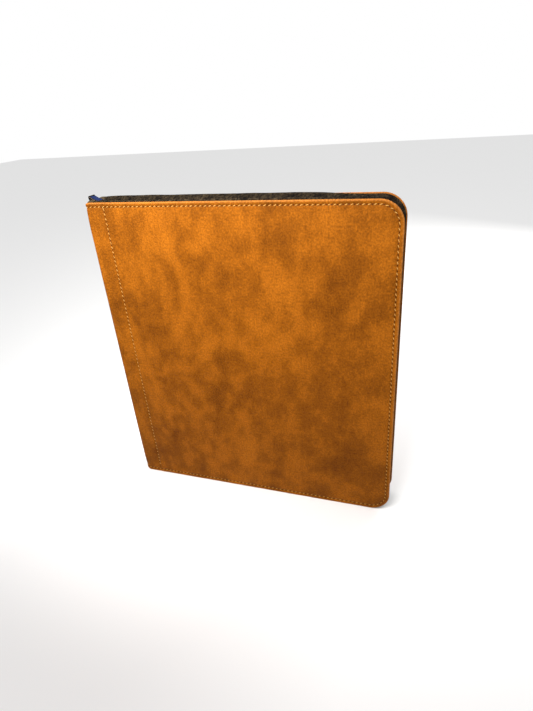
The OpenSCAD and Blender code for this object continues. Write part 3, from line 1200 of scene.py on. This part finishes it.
# The lamps: name, place, target, size, power and beam
LAMPS = (
    ("key", (-0.09, -0.31, 0.5), (-0.07, 0.0, 0.29), (0.42, 0.12), 1.6, 95),
    ("fill", (0.5, 0.9, 0.6), (0.0, 0.0, 0.15), (0.6, 0.6), 6.0, 180),
)
OVERHEAD_POWER, OVERHEAD_ANGLE = 2.1, 50
FLOOR_SIZE = 4.0
FLOOR_COLOUR = (0.86, 0.86, 0.86)
CAMERA_PLACE = (0.1681, -0.4071, 0.3952)
CAMERA_TURN = (62.107, 4.184, 18.031)
CAMERA_LENS = 24.8


def light_world(tree, strength, backdrop):
    """An even white surround that lights with one strength and is seen with another"""
    surround = tree.nodes["Background"]
    surround.inputs["Color"].default_value = (1.0, 1.0, 1.0, 1.0)
    surround.inputs["Strength"].default_value = strength
    seen = tree.nodes.new("ShaderNodeBackground")
    seen.inputs["Color"].default_value = (1.0, 1.0, 1.0, 1.0)
    seen.inputs["Strength"].default_value = backdrop
    path = tree.nodes.new("ShaderNodeLightPath")
    mix = tree.nodes.new("ShaderNodeMixShader")
    tree.links.new(path.outputs["Is Camera Ray"], mix.inputs[0])
    tree.links.new(surround.outputs[0], mix.inputs[1])
    tree.links.new(seen.outputs[0], mix.inputs[2])
    tree.links.new(mix.outputs[0], tree.nodes["World Output"].inputs["Surface"])


def area_light(name, place, target, size, power, beam):
    """A flat lamp in slightly warm white, whose beam opens by an angle in degrees"""
    light = bpy.data.lights.new(name, "AREA")
    light.shape = "RECTANGLE"
    light.size, light.size_y = size
    light.energy = power
    light.spread = math.radians(beam)
    light.color = (1.0, 0.98, 0.95)
    lamp = bpy.data.objects.new(name, light)
    lamp.location = place
    lamp.rotation_euler = (Vector(target) - Vector(place)).to_track_quat("-Z", "Y").to_euler()
    lamp.visible_camera = False
    bpy.context.scene.collection.objects.link(lamp)


class BINDER_OT_stage(bpy.types.Operator):
    """Sets the pale floor, the studio light and the camera"""

    bl_idname = "binder.stage"
    bl_label = "Floor, light and camera"

    def execute(self, context):
        scene = context.scene
        bm = bmesh.new()
        bmesh.ops.create_grid(bm, x_segments=1, y_segments=1, size=FLOOR_SIZE)
        mesh = bpy.data.meshes.new("floor")
        bm.to_mesh(mesh)
        bm.free()
        floor = bpy.data.objects.new("floor", mesh)
        look = Look("pale_floor", base_color=FLOOR_COLOUR, roughness=0.9)
        mesh.materials.append(look.material)
        scene.collection.objects.link(floor)

        scene.world = bpy.data.worlds.new("studio")
        scene.world.use_nodes = True
        light_world(scene.world.node_tree, SURROUND_LIGHT, SURROUND_SEEN)
        for lamp in LAMPS:
            area_light(*lamp)
        overhead = bpy.data.lights.new("overhead", "SUN")
        overhead.energy = OVERHEAD_POWER
        overhead.angle = math.radians(OVERHEAD_ANGLE)
        scene.collection.objects.link(bpy.data.objects.new("overhead", overhead))

        camera = bpy.data.cameras.new("camera")
        camera.lens = CAMERA_LENS
        camera.sensor_width = 36.0
        camera.clip_start = 0.01
        rig = bpy.data.objects.new("camera", camera)
        rig.location = CAMERA_PLACE
        rig.rotation_euler = Euler([math.radians(turn) for turn in CAMERA_TURN])
        scene.collection.objects.link(rig)
        scene.camera = rig
        scene.view_settings.view_transform = "Standard"
        return {"FINISHED"}


class BINDER_PT_panel(bpy.types.Panel):
    """The binder's sizes, colours and pieces"""

    bl_label = "Card binder"
    bl_idname = "BINDER_PT_panel"
    bl_space_type = "VIEW_3D"
    bl_region_type = "UI"
    bl_category = "Card binder"

    def draw(self, context):
        layout = self.layout
        for group in (context.scene.binder_sizes, context.scene.binder_colours):
            box = layout.box()
            for name in type(group).__annotations__:
                box.prop(group, name)
        for operator in OPERATORS:
            layout.operator(operator.bl_idname)


OPERATORS = (
    BINDER_OT_stage,
    BINDER_OT_leather,
    BINDER_OT_stitching,
    BINDER_OT_linings,
    BINDER_OT_zip,
    BINDER_OT_slider,
    BINDER_OT_pull,
    BINDER_OT_end_tabs,
    BINDER_OT_pages,
    BINDER_OT_inner_finishes,
)
CLASSES = (BinderSizes, BinderColours, *OPERATORS, BINDER_PT_panel)


def register():
    for cls in CLASSES:
        bpy.utils.register_class(cls)
    bpy.types.Scene.binder_sizes = PointerProperty(type=BinderSizes)
    bpy.types.Scene.binder_colours = PointerProperty(type=BinderColours)


def unregister():
    del bpy.types.Scene.binder_colours
    del bpy.types.Scene.binder_sizes
    for cls in reversed(CLASSES):
        bpy.utils.unregister_class(cls)


def main():
    """Makes every piece"""
    register()
    bpy.ops.binder.stage()
    bpy.ops.binder.leather()
    bpy.ops.binder.stitching()
    bpy.ops.binder.linings()
    bpy.ops.binder.zip()
    bpy.ops.binder.slider()
    bpy.ops.binder.pull()
    bpy.ops.binder.end_tabs()
    bpy.ops.binder.pages()
    bpy.ops.binder.inner_finishes()


if __name__ == "__main__":
    main()
